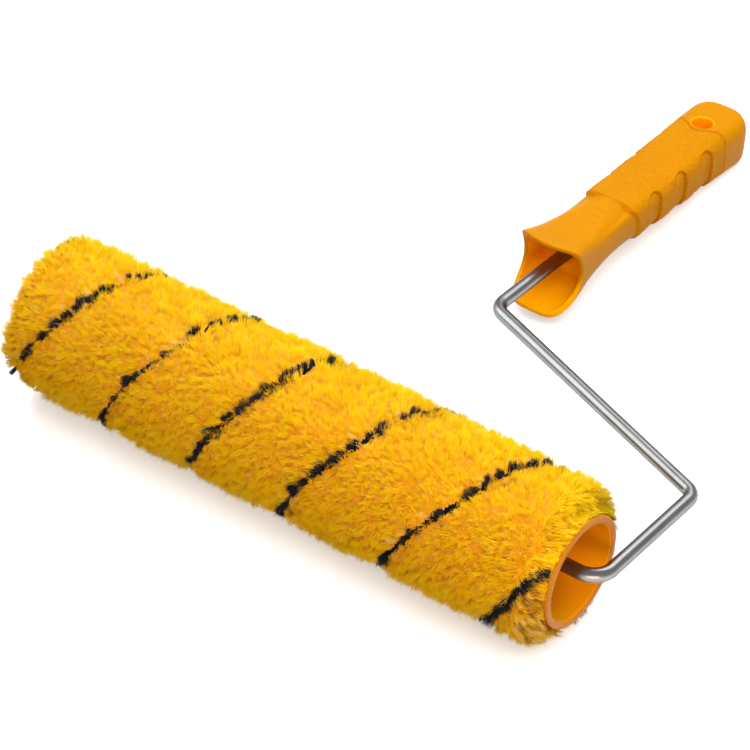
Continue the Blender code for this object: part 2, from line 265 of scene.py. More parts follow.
class Nodes:
    """A short way to write a material's nodes."""

    def __init__(self, name, **values):
        self.material = bpy.data.materials.new(name)
        self.material.use_nodes = True
        self.tree = self.material.node_tree
        self.shader = self.tree.nodes["Principled BSDF"]
        for key, value in values.items():
            self.shader.inputs[key.replace("_", " ")].default_value = value

    def feed(self, sockets, values):
        """Links each socket to an output, or gives it a value."""
        for socket, value in zip(sockets, values):
            if isinstance(value, bpy.types.NodeSocket):
                self.tree.links.new(value, socket)
            else:
                socket.default_value = value

    def add(self, kind, inputs=None, **settings):
        node = self.tree.nodes.new("ShaderNode" + kind)
        for key, value in settings.items():
            setattr(node, key, value)
        inputs = inputs or {}
        self.feed([node.inputs[key] for key in inputs], inputs.values())
        return node

    def place(self):
        return self.add("TexCoord").outputs["Object"]

    def noise(self, place, scale, detail=3.0, roughness=0.55):
        inputs = {"Vector": place, "Scale": scale, "Detail": detail, "Roughness": roughness}
        return self.add("TexNoise", inputs).outputs["Fac"]

    def scaled(self, place, scale):
        return self.add("Mapping", {"Vector": place, "Scale": scale}).outputs["Vector"]

    def ramp(self, factor, stops):
        node = self.add("ValToRGB", {"Fac": factor})
        elements = node.color_ramp.elements
        while len(elements) < len(stops):
            elements.new(0.5)
        for element, (position, colour) in zip(elements, stops):
            element.position = position
            element.color = (*colour, 1)
        return node.outputs["Color"]

    def span(self, value, low, high, new_low, new_high):
        limits = {"From Min": low, "From Max": high, "To Min": new_low, "To Max": new_high}
        return self.add("MapRange", {"Value": value, **limits}).outputs["Result"]

    def vary(self, noise, low, high):
        """A number from low to high over the middle of a noise's range."""
        return self.span(noise, *NOISE_MIDDLE, low, high)

    def two_tone(self, noise, first, second):
        return self.ramp(noise, list(zip(NOISE_MIDDLE, (first, second))))

    def maths(self, operation, first, second):
        node = self.add("Math", operation=operation)
        self.feed(node.inputs, (first, second))
        return node.outputs["Value"]

    def mix(self, factor, first, second):
        node = self.add("Mix", data_type="RGBA")
        colours = [(*value, 1) if isinstance(value, tuple) else value for value in (first, second)]
        self.feed([node.inputs[i] for i in (0, 6, 7)], (factor, *colours))  # the factor and A and B
        return node.outputs[2]

    def attribute(self, name):
        return self.add("Attribute", attribute_name=name).outputs["Fac"]

    def bump(self, height, distance, strength=1.0):
        inputs = {"Height": height, "Distance": distance, "Strength": strength}
        return self.add("Bump", inputs).outputs["Normal"]

    def plug(self, socket, output):
        self.tree.links.new(output, self.shader.inputs[socket])


def moulded(name, specular, weight, scale, radius):
    """A material that lets a little light through, and its place."""
    m = Nodes(name, Specular_IOR_Level=specular, Subsurface_Weight=weight, Subsurface_Scale=scale)
    m.shader.inputs["Subsurface Radius"].default_value = radius
    return m, m.place()


def handle_plastic():
    """Orange polypropylene, grained on the grip, with painted shade in its grooves and painted light
    inside the mouth.
    """
    m, place = moulded("handle_plastic_look", 0.028, 0.35, 0.006, (1.0, 0.45, 0.08))
    cloud = m.noise(place, 28, 2)
    colour = m.two_tone(cloud, (0.53, 0.205, 0.0005), (0.57, 0.225, 0.0005))
    colour = m.mix(m.vary(m.noise(place, 900, 4), 0.0, 0.10), colour, (0.42, 0.13, 0.001))
    # painted shade: darker along the walls of the pads, seams and ribs, where shade falls
    colour = m.mix(m.maths("MULTIPLY", m.attribute("groove_shade"), 0.55), colour, (0.30, 0.075, 0.0005))
    # painted light: brighter inside the mouth and on its lower lip, for light that gets in and through
    # the thin wall
    m.plug("Base Color", m.mix(m.attribute("inside"), colour, (0.95, 0.36, 0.0005)))
    grain = m.attribute("grain")
    rougher = m.maths("MULTIPLY", grain, 0.08)
    m.plug("Roughness", m.maths("ADD", m.vary(cloud, 0.33, 0.40), rougher))
    coarse = m.maths("MULTIPLY", m.noise(place, 520, 2, 0.6), grain)
    skin = m.maths("MULTIPLY", m.noise(place, 2400, 2), 0.10)
    m.plug("Normal", m.bump(m.maths("ADD", coarse, skin), 0.0008, 0.9))
    return m.material


def core_plastic():
    """Glossier than the handle and drawn along the tube, with painted light in its bore."""
    m, place = moulded("core_plastic_look", 0.12, 0.30, 0.005, (1.0, 0.35, 0.05))
    drawn = m.noise(m.scaled(place, (20, 200, 200)), 3.0, 3)
    colour = m.two_tone(drawn, (0.46, 0.160, 0.001), (0.52, 0.188, 0.001))
    # painted light: the bore's colour is brighter
    m.plug("Base Color", m.mix(m.attribute("inside"), colour, (0.76, 0.28, 0.001)))
    m.plug("Roughness", m.vary(m.noise(place, 90, 3), 0.28, 0.40))
    m.plug("Normal", m.bump(drawn, 0.0003, 0.3))
    return m.material


def plated_steel():
    """Satin plate over drawn wire, with streaks along it."""
    m = Nodes("plated_steel_look", Metallic=1.0, Specular_Tint=(0.45, 0.45, 0.46, 1))
    flow = m.add("Attribute", attribute_name="flow").outputs["Vector"]
    streaks = m.noise(m.scaled(flow, (30, 900, 900)), 1.0, 4, 0.6)
    cloud = m.noise(m.place(), 120, 3)
    m.plug("Base Color", m.two_tone(cloud, (0.26, 0.262, 0.265), (0.31, 0.312, 0.315)))
    m.plug("Roughness", m.maths("ADD", m.vary(streaks, 0.26, 0.32), m.vary(cloud, 0.0, 0.05)))
    m.plug("Normal", m.bump(streaks, 0.0001, 0.08))
    return m.material


def speckled(name, scales, colours, roughness, **values):
    """An even finish for small parts: a noise each for its colour, its roughness and its surface."""
    m = Nodes(name, **values)
    place = m.place()
    m.plug("Base Color", m.two_tone(m.noise(place, scales[0], 3), *colours))
    m.plug("Roughness", m.vary(m.noise(place, scales[1], 3), *roughness))
    m.plug("Normal", m.bump(m.noise(place, scales[2], 2), 0.0001, 0.3))
    return m.material


def spring_steel():
    colours = ((0.30, 0.31, 0.33), (0.42, 0.43, 0.45))
    return speckled("spring_steel_look", (300, 900, 2000), colours, (0.28, 0.45), Metallic=1.0)


def plug_plastic():
    """The bearing plugs: the core's plastic in a deeper shade."""
    colours = ((0.50, 0.09, 0.003), (0.60, 0.12, 0.004))
    scales = (120, 400, 1800)
    return speckled("plug_plastic_look", scales, colours, (0.42, 0.55), Specular_IOR_Level=0.45)


def fibre(name, root, tip, shade):
    """Pile fibre: painted shade towards its root, and a mix towards its shade colour that is partly
    random tone and partly painted shade.
    """
    m = Nodes(name, Roughness=0.75, Specular_IOR_Level=0.02)
    # painted shade: the root's colour stands for the shade deep in the pile
    colour = m.ramp(m.attribute("along"), [(0.0, root), (0.85, tip)])
    cloud = m.noise(m.place(), 45, 2)
    # how far towards the shade colour: random tone from strand to strand and tuft to tuft, and painted
    # shade in low places and beside the stripes
    amount = m.maths("ADD", m.attribute("shade_mix"), m.span(cloud, 0.35, 0.65, -0.12, 0.18))
    m.plug("Base Color", m.mix(amount, colour, shade))
    return m.material


def backing_fabric():
    """Knitted backing that the pile stands on."""
    m = Nodes("pile_backing_look", Roughness=0.9, Specular_IOR_Level=0.15, Sheen_Weight=0.2)
    wave = {"Vector": m.place(), "Scale": 420.0, "Distortion": 2.0, "Detail": 2.0}
    knit = m.add("TexWave", wave).outputs["Fac"]
    m.plug("Base Color", m.ramp(knit, [(0.2, (0.85, 0.36, 0.002)), (0.8, (0.95, 0.46, 0.004))]))
    m.plug("Normal", m.bump(knit, 0.0006, 0.7))
    return m.material


def floor_paint():
    """Pale paint that glows a little, as a lit backdrop does."""
    glow = {"Emission_Color": (1, 1, 1, 1), "Emission_Strength": 0.40}
    m = Nodes("floor_look", Specular_IOR_Level=0.2, Roughness=0.7, **glow)
    stops = [(0.0, (0.84, 0.84, 0.84)), (1.0, (0.86, 0.86, 0.86))]
    m.plug("Base Color", m.ramp(m.noise(m.place(), 3, 2), stops))
    return m.material


# ---- core


def core_shell(material):
    """The core tube at a finer resolution, with the soft inner lip that its mould leaves."""
    low, high = CORE_FAR_X, CORE_NEAR_X
    lip, edge = 1.2 * MM, 0.8 * MM
    profile = [(low, CORE_BORE_R)]
    profile += [(low + (high - lip - low) * i / 12, CORE_BORE_R) for i in range(1, 12)]
    profile += arc((high - lip, CORE_BORE_R + lip), lip, -90, 0, 8)
    profile += arc((high - edge, CORE_R - edge), edge, 0, 90, 6)
    profile += [(low, CORE_R)]
    ring = circle(192)
    points = [(x, AXIS.y + radius * c, AXIS.z + radius * s) for c, s in ring for x, radius in profile]
    thing = mesh_object("core_shell", points, grid_faces(len(ring), len(profile), closed=True), material)
    fix_normals(thing.data)
    thing.data.set_sharp_from_angle(angle=math.radians(50))
    # painted light: the bore's points, where the colour is brighter
    bore_light = [float(radius < CORE_BORE_R + 0.6 * MM and x < high - 0.5 * MM) for x, radius in profile]
    point_values(thing.data, "inside", np.tile(bore_light, len(ring)))
    return thing


# ---- rod


def rounded_path(corners, radii, step_degrees):
    path = [corners[0]]
    for before, corner, after, radius in zip(corners, corners[1:], corners[2:], radii):
        back, ahead = (before - corner).normalized(), (after - corner).normalized()
        half = back.angle(ahead) / 2
        centre = corner + (back + ahead).normalized() * radius / math.sin(half)
        start = (corner + back * radius / math.tan(half) - centre).normalized()
        end = (corner + ahead * radius / math.tan(half) - centre).normalized()
        steps = max(3, round(math.degrees(start.angle(end)) / step_degrees))
        path += [centre + start.slerp(end, i / steps) * radius for i in range(steps + 1)]
    return path + [corners[-1]]


def rod(material):
    """The bent wire as a fine round tube with chamfered ends."""
    arm_x = ARM_SIDE_X - ROD_R
    corners = [
        Vector((ROD_TIP_X, 0, 0)),
        Vector((arm_x, 0, 0)),
        Vector((arm_x, ARM_LENGTH, 0)),
        Vector((STEM_X, STEM_Y, 0)),
        Vector((STEM_X, ROD_END_Y, 0)),
    ]
    path = rounded_path(corners, BENDS, 3)
    runs = [path[0]]
    for point in path[1:]:
        start = runs[-1]
        cuts = max(1, round((point - start).length / (6 * MM)))
        runs += [start.lerp(point, i / cuts) for i in range(1, cuts + 1)]
    sides = circle(40)
    chamfer = 0.5 * MM
    first, last = (runs[1] - runs[0]).normalized(), (runs[-1] - runs[-2]).normalized()
    rings = [(runs[0], ROD_R - chamfer), (runs[0] + first * chamfer, ROD_R)]
    rings += [(point, ROD_R) for point in runs[1:-1]]
    rings += [(runs[-1] - last * chamfer, ROD_R), (runs[-1], ROD_R - chamfer)]
    points, flow, travelled = [], [], 0.0
    up = Vector((0, 0, 1))
    for i, (centre, radius) in enumerate(rings):
        before, after = rings[max(i - 1, 0)][0], rings[min(i + 1, len(rings) - 1)][0]
        side = (after - before).normalized().cross(up).normalized()
        travelled += (centre - before).length
        points += [PLANE @ (centre + (side * c + up * s) * radius) for c, s in sides]
        flow += [(travelled, ROD_R * c, ROD_R * s) for c, s in sides]
    thing = mesh_object("rod", points, capped_faces(len(rings), len(sides)), material, 40)
    point_values(thing.data, "flow", flow)
    fix_normals(thing.data)
    return thing


# ---- handle, in millimetres in its plane


def handle_section(y):
    """Half width, top, bottom and the squareness of the upper and lower halves at each y."""
    rows = np.array(HANDLE_SECTIONS)
    place = np.clip(y, rows[0, 0], rows[-1, 0])
    at = np.clip(np.searchsorted(rows[:, 0], place, side="right") - 1, 0, len(rows) - 2)
    t = (place - rows[at, 0]) / (rows[at + 1, 0] - rows[at, 0])
    a, b, c, d = (rows[np.clip(at + i, 0, len(rows) - 1), 1:] for i in (-1, 0, 1, 2))
    t = t[:, None]
    return (b + 0.5 * t * (c - a + t * (2 * a - 5 * b + 4 * c - d + t * (3 * (b - c) + d - a)))).T


def mouth_edge(across, up):
    """How far the mouth's edge stands back from its plane: its two lips and its cheeks."""
    upper_lip = (0.7 + 3.8 * across**2) * np.maximum(up, 0) ** 3
    cheek = 9.0 * (1 - up**2) * across**2
    lower_lip = -6.0 * np.maximum(-up, 0) ** 3
    return upper_lip + cheek + lower_lip


def handle_surface(y, inset=0.0):
    """The handle's surface as rings of points: arrays of x, y and z with a row for each y."""
    width, top, bottom, upper, lower = (value[:, None] for value in handle_section(y))
    y = y[:, None]
    angle = math.tau * np.arange(AROUND)[None, :] / AROUND
    cosine, sine = np.cos(angle), np.sin(angle)
    tail = np.clip((y - HANDLE_END_Y) / TAIL_LENGTH + 1, 0, 1)
    narrowing = (1 - tail**TAIL_POWER) ** (1 / TAIL_POWER)
    lowering = 1 - TAIL_DROP * tail**5 - 0.10 * tail**16
    fade = np.maximum(0, 1 - (y - MOUTH_Y) / (MOUTH_WEB_Y - MOUTH_Y)) ** 1.3
    power = np.where(sine > 0, 2 / upper, 2 / lower)
    across = np.sign(cosine) * np.abs(cosine) ** power
    up = np.sign(sine) * np.abs(sine) ** power
    x = (width - inset) * across * narrowing * (1 + WING * fade * np.maximum(up, 0) ** 4)
    z = (np.where(sine > 0, top, bottom) - inset) * up * lowering
    z = np.where(y > FLAT_FROM_Y, np.clip(z, -FLAT_BOTTOM, FLAT_TOP), z)
    middle = STEM_X / MM + LEAN * (y - MOUTH_Y)
    return x + middle, y + fade * mouth_edge(across, up), z, x


def even_angles(x, z):
    """Slides each ring's points along it until they stand the same distance apart."""
    rows = []
    for ring_x, ring_z in zip(x, z):
        closed_x, closed_z = np.append(ring_x, ring_x[0]), np.append(ring_z, ring_z[0])
        steps = np.hypot(np.diff(closed_x), np.diff(closed_z))
        travelled = np.concatenate([[0], np.cumsum(steps)])
        wanted = travelled[-1] * np.arange(AROUND) / AROUND
        rows.append(np.interp(wanted, travelled, np.arange(AROUND + 1)))
    return np.array(rows)


def grip_start(girth):
    """Where the textured grip starts, from the top (girth -12) over the edge (0) and down the side."""
    return np.interp(girth, (-12, 2, 8, 13, 18, 26), (209.8, 209.8, 212.4, 214.2, 215.2, 216.0))


def grip_end(girth):
    """Where it ends: across the top it dips towards the hole, and down the side it runs straight."""
    return np.interp(girth, (-12, -8, -3, 2, 8, 26), (282.4, 285.2, 287.6, 288.2, 287.6, 287.4))


def neck_facet(side, y, z, girth):
    """The smooth slope at each side of the thumb rest: it deepens until the textured grip starts."""
    ridge = 14.2 - 0.374 * (y - 174.5)
    inward = np.maximum(side - ridge, 0) * smoothstep(172, 186, y)
    top_cut = 0.30 * inward * (z > 0)
    side_cut = 1.35 * smoothstep(176, 208, y)
    blend = smoothstep(-1, 6, girth)
    cut = (1 - blend) * np.minimum(top_cut, 2.4) + blend * side_cut
    return cut * (1 - smoothstep(20, 27, girth)) * (1 - smoothstep(-0.5, 0.5, y - grip_start(girth)))


def pads(y, girth):
    """Three arched pads down each side. Each one sinks towards the handle's end and stops at a wall."""
    depth = np.zeros_like(y)
    for low, high in PADS_Y:
        width = high - low
        along = (y - low) / width
        rise, fall_back = (PAD_APEX - along) / PAD_APEX, (along - PAD_APEX) / (1 - PAD_APEX)
        reach = np.where(along < PAD_APEX, rise, fall_back * 0.75)
        crown = 1.2 + 9.0 * np.clip(reach, 0, 1) ** 2.2  # girth at which the pad begins
        inside = smoothstep(-0.5, 0.45, girth - crown) * smoothstep(-0.1, 0.5, along * width)
        inside = inside * (1 - smoothstep(-0.55, 0.35, y - high)) * (1 - smoothstep(21, 27, girth))
        fall = 0.15 + 0.85 * np.clip(along, 0, 1) ** 1.3
        arch = 0.75 * (1 - smoothstep(0, 5, girth - crown)) * (along > 0.12)
        depth = np.maximum(depth, inside * PAD_DEPTH * np.maximum(fall, arch))
    return depth


def thumb_ridges(side, y, z):
    """Low ribs across the thumb rest."""
    height = np.zeros_like(y)
    for place in RIDGES_Y:
        half = 6.0 - 0.03 * (place - RIDGES_Y[0])
        bow = place - 0.02 * side**2
        height += (1 - smoothstep(half - 1.2, half, side)) * bell(y - bow, 0.55)
    return RIDGE_HEIGHT * height * (z > 0)


def orange_peel(points, rng):
    """A smooth random relief of about 1.6 mm bumps, summed from plane waves in all directions."""
    waves = 40
    total = np.zeros(points.shape[:-1])
    for _ in range(waves):
        direction = unit(rng.normal(size=3))
        wave = math.tau / rng.uniform(1.3, 3.4)
        total += np.sin(points @ direction * wave + rng.uniform(0, math.tau))
    return total / math.sqrt(waves)


def handle_relief(x_side, y, z, points, rng):
    """How deep the surface is cut below the plain section, the share of grain and the painted shade on
    the grooves' walls.
    """
    side = np.abs(x_side)
    girth = side - z
    start, end = grip_start(girth), grip_end(girth)
    grain = smoothstep(0.2, 1.6, y - start) * (1 - smoothstep(-1.2, 0.0, y - end))
    seam = bell(y - start - 0.5, 0.40) * SEAM_DEPTHS[0] * (z > -FLAT_BOTTOM + 1)
    seam += bell(y - end, 0.36) * SEAM_DEPTHS[1]
    sunk, ribs = pads(y, girth), thumb_ridges(side, y, z)
    cut = neck_facet(side, y, z, girth) + sunk + seam + GRAIN_RECESS * grain - ribs
    cut -= GRAIN_HEIGHT * orange_peel(points, rng) * grain
    # painted shade, strongest where the walls of the pads, seams and ribs are steep
    slope = np.hypot(*np.gradient(sunk + seam + 1.3 * ribs))
    shade = smoothstep(0.10, 0.42, slope) + 0.6 * smoothstep(0.15, 0.5, seam)
    return cut, grain, np.clip(shade, 0, 1)


def grid_normals(points):
    """Outward normals of a closed ring grid of points."""
    around = np.roll(points, -1, axis=1) - np.roll(points, 1, axis=1)
    along = np.gradient(points, axis=0)
    normal = unit(np.cross(around, along))
    centre = points.mean(axis=1, keepdims=True)
    outward = np.sign(np.sum(normal * (points - centre), axis=2, keepdims=True).mean())
    return normal * outward


def sampled(values, place):
    """Values of each ring's points at fractional places round it."""
    low = np.floor(place).astype(int) % AROUND
    t = place - np.floor(place)
    rows = np.arange(len(values))[:, None]
    return values[rows, low] * (1 - t) + values[rows, (low + 1) % AROUND] * t


def even_surface(y, inset=0.0):
    """The handle's surface with its points evenly spaced round each ring."""
    surface = handle_surface(y, inset)
    place = even_angles(surface[0], surface[2])
    return [sampled(values, place) for values in surface]


def handle_shell(material):
    """The moulding: the mouth's web and inner wall, its lip, the outside and the closed end."""
    body_end = HANDLE_END_Y - TAIL_LENGTH
    tail = body_end + TAIL_LENGTH * np.sin(np.radians(np.linspace(4, 89.4, TAIL_ROWS)))
    stations = np.concatenate([np.linspace(MOUTH_Y, body_end, BODY_ROWS), tail])
    x, y, z, x_side = even_surface(stations)
    outer = np.stack([x, y, z], axis=2)
    cut, grain, shade = handle_relief(x_side, y, z, outer, np.random.default_rng(SEED))
    outer = outer - grid_normals(outer) * cut[..., None]
    inner = np.stack(even_surface(np.linspace(MOUTH_WEB_Y, MOUTH_Y, MOUTH_ROWS), WALL)[:3], axis=2)
    bulge = np.array((0.0, -LIP_BULGE, 0.0))
    lip = [
        inner[-1] * (1 - t) + outer[0] * t + bulge * share
        for t, share in ((0.12, 0.75), (0.5, 1.0), (0.88, 0.75))
    ]
    rings = np.concatenate([inner, np.array(lip), outer])
    points = rings.reshape(-1, 3)
    faces = grid_faces(len(rings), AROUND)
    faces.append(tuple(range(AROUND)))
    last, half = len(points) - AROUND, AROUND // 2
    for i in range(-AROUND // 4, AROUND // 4):  # strips from side to side close the end
        a, b = i % AROUND, (i + 1) % AROUND
        faces.append((last + a, last + b, last + (half - i - 1) % AROUND, last + (half - i) % AROUND))
    thing = mesh_object("handle_grip", [PLANE @ Vector(point * MM) for point in points], faces, material)

    plain = np.zeros(len(points) - grain.size)
    point_values(thing.data, "grain", np.append(plain, grain))
    point_values(thing.data, "groove_shade", np.append(plain, shade))
    # painted light inside the mouth: 1 on the inner wall and on the lower half of the lip
    lower_lip_light = smoothstep(-0.1, 0.6, -np.sin(math.tau * np.arange(AROUND) / AROUND))
    mouth_light = [np.ones(MOUTH_ROWS * AROUND), np.tile(lower_lip_light, len(lip)), np.zeros(grain.size)]
    point_values(thing.data, "inside", np.concatenate(mouth_light))
    fix_normals(thing.data)
    cut_away(thing, hanging_hole(), rod_bore())
    thing.data.shade_smooth()
    thing.data.set_sharp_from_angle(angle=math.radians(60))
    return thing


def hanging_hole():
    """A cutter that flares at both faces, so that the hole's edges come out rounded."""
    middle = STEM_X / MM + LEAN * (HOLE_Y - MOUTH_Y)
    radius, past = HOLE_R + HOLE_FILLET, 0.02
    outline = [(radius + 1.5, FLAT_TOP + 3)]
    outline += arc((radius, FLAT_TOP + past - HOLE_FILLET), HOLE_FILLET, 90, 180, 6)
    outline += arc((radius, -FLAT_BOTTOM - past + HOLE_FILLET), HOLE_FILLET, 180, 270, 6)
    outline += [(radius + 1.5, -FLAT_BOTTOM - 3)]
    sides = circle(96)
    points = [(middle + r * c, HOLE_Y + r * s, z) for r, z in outline for c, s in sides]
    return cutter("hole_cutter", points, len(outline), len(sides))


def rod_bore():
    """A short bore through the mouth's web, round the rod."""
    radius = ROD_R / MM + BORE_GAP
    ends = (MOUTH_WEB_Y - 5, MOUTH_WEB_Y + 12)
    sides = circle(48)
    points = [(STEM_X / MM + radius * c, y, radius * s) for y in ends for c, s in sides]
    return cutter("bore_cutter", points, len(ends), len(sides))


def cutter(name, points, rows, columns):
    world = [PLANE @ (Vector(point) * MM) for point in points]
    thing = mesh_object(name, world, capped_faces(rows, columns))
    fix_normals(thing.data)
    return thing


def cut_away(thing, *cutters):
    """Cuts the pieces away for good, and removes them."""
    for tool in cutters:
        boolean = thing.modifiers.new(tool.name, "BOOLEAN")
        boolean.operation = "DIFFERENCE"
        boolean.object = tool
    evaluated = thing.evaluated_get(bpy.context.evaluated_depsgraph_get())
    mesh = bpy.data.meshes.new_from_object(evaluated)
    thing.modifiers.clear()
    thing.data = mesh
    for tool in cutters:
        bpy.data.objects.remove(tool)


# ---- pile


class Outline:
    """The pile's surface in section, looked up by the distance travelled along it from the far end."""

    def __init__(self):
        far, near = PILE_FAR_X, PILE_NEAR_X
        far_round, near_round = 4.0 * MM, 9.5 * MM
        points = [(far + 3.5 * MM, CORE_R + 0.4 * MM), (far + 1.2 * MM, CORE_R + 0.8 * MM)]
        points += arc((far + far_round, PILE_R - far_round), far_round, 176, 90, 12)
        points += arc((near - near_round, PILE_R - near_round), near_round, 90, 12, 12)
        points += [(CORE_NEAR_X - 0.8 * MM, CORE_R + 0.7 * MM)]
        self.points = np.array(points)  # (x, radius)
        steps = np.hypot(*np.diff(self.points, axis=0).T)
        self.marks = np.concatenate([[0], np.cumsum(steps)])
        self.length = self.marks[-1]

    def place(self, travelled):
        x = np.interp(travelled, self.marks, self.points[:, 0])
        return x, np.interp(travelled, self.marks, self.points[:, 1])

    def normal(self, travelled):
        ahead = 0.8 * MM
        x1, r1 = self.place(travelled + ahead)
        x0, r0 = self.place(travelled - ahead)
        size = np.maximum(np.hypot(x1 - x0, r1 - r0), 1e-9)
        return -(r1 - r0) / size, (x1 - x0) / size


def stripe_wobble(x, turn):
    """How far the hand-laid yarn strays from a true helix, along X."""
    along = x - CORE_NEAR_X
    drift = 1.5 + 3.6 * np.cos(math.tau * (along / MM + 265) / 330)
    bow = 4.5 * bell(turn - 0.34, 0.11)
    return (drift + bow) * MM


def stripe_distance(x, angle):
    """Signed distance along X from the nearest dark helix. The angle goes from +Y to +Z."""
    turn = ((angle + TILT) / math.tau) % 1.0
    along = x - CORE_NEAR_X - STRIPE_AT - stripe_wobble(x, turn)
    offset = (along + STRIPE_PITCH * turn) / STRIPE_STEP
    return (offset - np.round(offset)) * STRIPE_STEP


class Waves:
    """Smooth random values over the sleeve, summed from waves that close round it."""

    def __init__(self, rng, size, count=24):
        highest = max(1, int(math.tau * PILE_R / size))
        self.turns = rng.integers(-highest, highest + 1, count)
        self.along = rng.uniform(-1, 1, count) * math.tau / size
        self.phase = rng.uniform(0, math.tau, count)
        self.scale = math.sqrt(2 / count)

    def __call__(self, x, angle):
        total = np.zeros_like(x)
        for turns, along, phase in zip(self.turns, self.along, self.phase):
            total += np.sin(turns * angle + along * x + phase)
        return total * self.scale


def tuft_places(rng, outline):
    """The tufts' distances along the outline and angles round the axis, on a jittered grid."""
    rows = round(outline.length / TUFT_SPACING)
    travelled, angles = [], []
    for row in range(rows):
        at = (row + 0.5) * outline.length / rows
        radius = outline.place(at)[1]
        count = max(12, round(math.tau * radius / TUFT_SPACING))
        travelled.append(at + rng.uniform(-0.5, 0.5, count) * TUFT_SPACING)
        even = (np.arange(count) + 0.5 * (row % 2)) / count * math.tau
        angles.append(even + rng.uniform(-0.5, 0.5, count) * TUFT_SPACING / radius)
    return np.clip(np.concatenate(travelled), 0, outline.length), np.concatenate(angles)


def strand_mesh(name, centres, widths, shade_mixes, outward, materials):
    """Closed three-sided strands. centres has the shape (strands, rings, 3), and the last ring is a tip.

    The normals lean towards the pile's own surface, because light passes through fibres and round them.
    The object shows the patterned material over the mesh's plain one.
    """
    strands, rings, _ = centres.shape
    ahead = unit(np.gradient(centres, axis=1))
    helper = np.where(np.abs(ahead[..., :1]) < 0.8, (1.0, 0.0, 0.0), (0.0, 1.0, 0.0))
    side = unit(np.cross(ahead, helper))
    other = np.cross(ahead, side)
    per = 3 * (rings - 1) + 1
    points = np.empty((strands, per, 3))
    normals = np.empty((strands, per, 3))
    for k, (c, s) in enumerate(circle(3)):
        offset = side[:, :-1] * c + other[:, :-1] * s
        points[:, k : per - 1 : 3] = centres[:, :-1] + offset * widths[:, :-1, None] / 2
        normals[:, k : per - 1 : 3] = OWN_NORMAL * offset + (1 - OWN_NORMAL) * outward[:, None]
    points[:, -1] = centres[:, -1]
    normals[:, -1] = OWN_NORMAL * ahead[:, -1] + (1 - OWN_NORMAL) * outward
    base = (np.arange(strands) * per)[:, None, None]
    quads = base + np.array(grid_faces(rings - 1, 3))[:, [0, 3, 2, 1]]
    tips = [(per - 4 + k, per - 4 + (k + 1) % 3, per - 1) for k in range(3)]
    triangles = base + np.array(tips + [(2, 1, 0)])
    mesh = bpy.data.meshes.new(name)
    mesh.vertices.add(strands * per)
    mesh.vertices.foreach_set("co", points.astype(np.float32).ravel())
    mesh.loops.add(quads.size + triangles.size)
    corners = np.concatenate([quads.ravel(), triangles.ravel()]).astype(np.int32)
    mesh.loops.foreach_set("vertex_index", corners)
    starts = np.concatenate([np.arange(0, quads.size, 4), quads.size + np.arange(0, triangles.size, 3)])
    mesh.polygons.add(len(starts))
    mesh.polygons.foreach_set("loop_start", starts.astype(np.int32))
    mesh.update(calc_edges=True)
    mesh.shade_smooth()
    along = np.append(np.repeat(np.linspace(0, 1, rings)[:-1], 3), 1.0)
    point_values(mesh, "along", np.tile(along, strands))
    point_values(mesh, "shade_mix", np.repeat(shade_mixes, per))
    point_values(mesh, "custom_normal", unit(normals).reshape(-1, 3))
    patterned, plain = materials
    mesh.materials.append(plain)
    thing = link(bpy.data.objects.new(name, mesh))
    thing.material_slots[0].link = "OBJECT"
    thing.material_slots[0].material = patterned
    return thing


def stripe_tufts(rng, outline):
    """Places along both dark helices: distances along the outline and angles round the axis."""
    low = int(np.argmin(outline.points[:, 0]))
    steps = round(math.hypot(math.tau * PILE_R, STRIPE_PITCH) / STRIPE_TUFT_SPACING)
    travelled, angles = [], []
    for start in range(STRIPES_PER_TURN):
        turn = np.arange(-2 * steps, 5 * steps) / steps
        turn = turn + rng.normal(0, 0.12 / steps, len(turn))
        x = CORE_NEAR_X + STRIPE_AT + STRIPE_STEP * start - STRIPE_PITCH * turn
        x = x + stripe_wobble(x, turn % 1.0) + rng.normal(0, 0.45 * MM, len(turn))
        thin = 0.5 + 0.5 * np.sin(turn * 61.0 + 3.0 * start + 2.0 * np.sin(turn * 23.0))
        away = 1 - smoothstep(-40 * MM, -15 * MM, x - CORE_NEAR_X)
        present = rng.uniform(size=len(x)) > (0.10 + 0.45 * thin) * away  # unbroken beside the rim
        kept = (x > PILE_FAR_X + 0.5 * MM) & (x < CORE_NEAR_X - 1.2 * MM) & present
        travelled.append(np.interp(x[kept], outline.points[low:, 0], outline.marks[low:]))
        angles.append(turn[kept] * math.tau - TILT)
    return np.concatenate(travelled), np.concatenate(angles)


